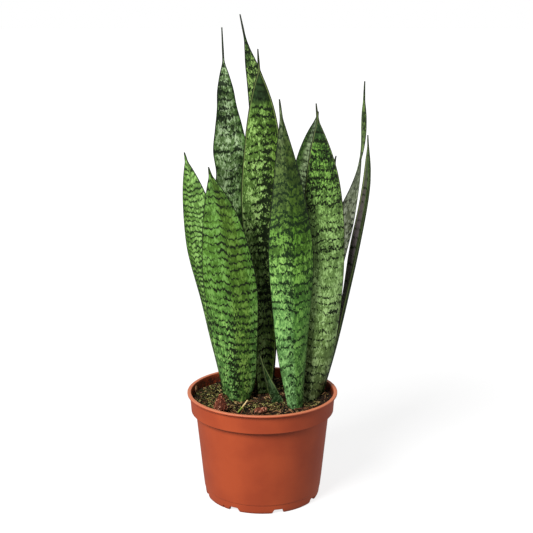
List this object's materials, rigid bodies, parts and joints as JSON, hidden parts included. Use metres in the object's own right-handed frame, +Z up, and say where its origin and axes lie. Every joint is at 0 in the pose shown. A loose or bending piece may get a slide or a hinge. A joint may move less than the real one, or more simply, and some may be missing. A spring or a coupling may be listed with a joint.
{
  "type": "potted snake plant",
  "caption": "Potted snake plant: upright banded sword-shaped leaves in a terracotta-coloured plastic nursery pot of peat.",
  "frame": {"origin": "on the ground, under the middle of the whole plant's bounding box; the pot's axis stands 13.5 mm to the left of it (-X)", "axes": "+Z up along the leaves, -Y towards the front of the plant, +X to the right"},
  "size_m": [0.198, 0.16, 0.5062],
  "materials": {
    "pot_plastic": "satin",
    "peat": "matte",
    "leaf": "satin",
    "leaf_pale": "satin",
    "rhizome": "matte",
    "coir": "matte",
    "straw": "matte"
  },
  "bodies": {
    "root": {"pot": "pot_plastic", "soil": "peat", "leaf_far_left": "leaf", "leaf_front_left": "leaf", "leaf_back_left": "leaf_pale", "leaf_back_centre": "leaf", "leaf_centre": "leaf", "leaf_front_right": "leaf", "leaf_right": "leaf", "leaf_back_right": "leaf_pale", "leaf_hidden": "leaf", "leaf_twisted": "leaf_pale", "leaf_narrow_right": "leaf", "leaf_young": "leaf", "rhizome_left": "rhizome", "rhizome_centre": "rhizome", "rhizome_right": "rhizome", "rhizome_back": "rhizome", "coir_chunk_left": "coir", "coir_chunk_front": "coir", "bark_chip": "coir", "straw_stalk": "straw"}
  },
  "joints": []
}
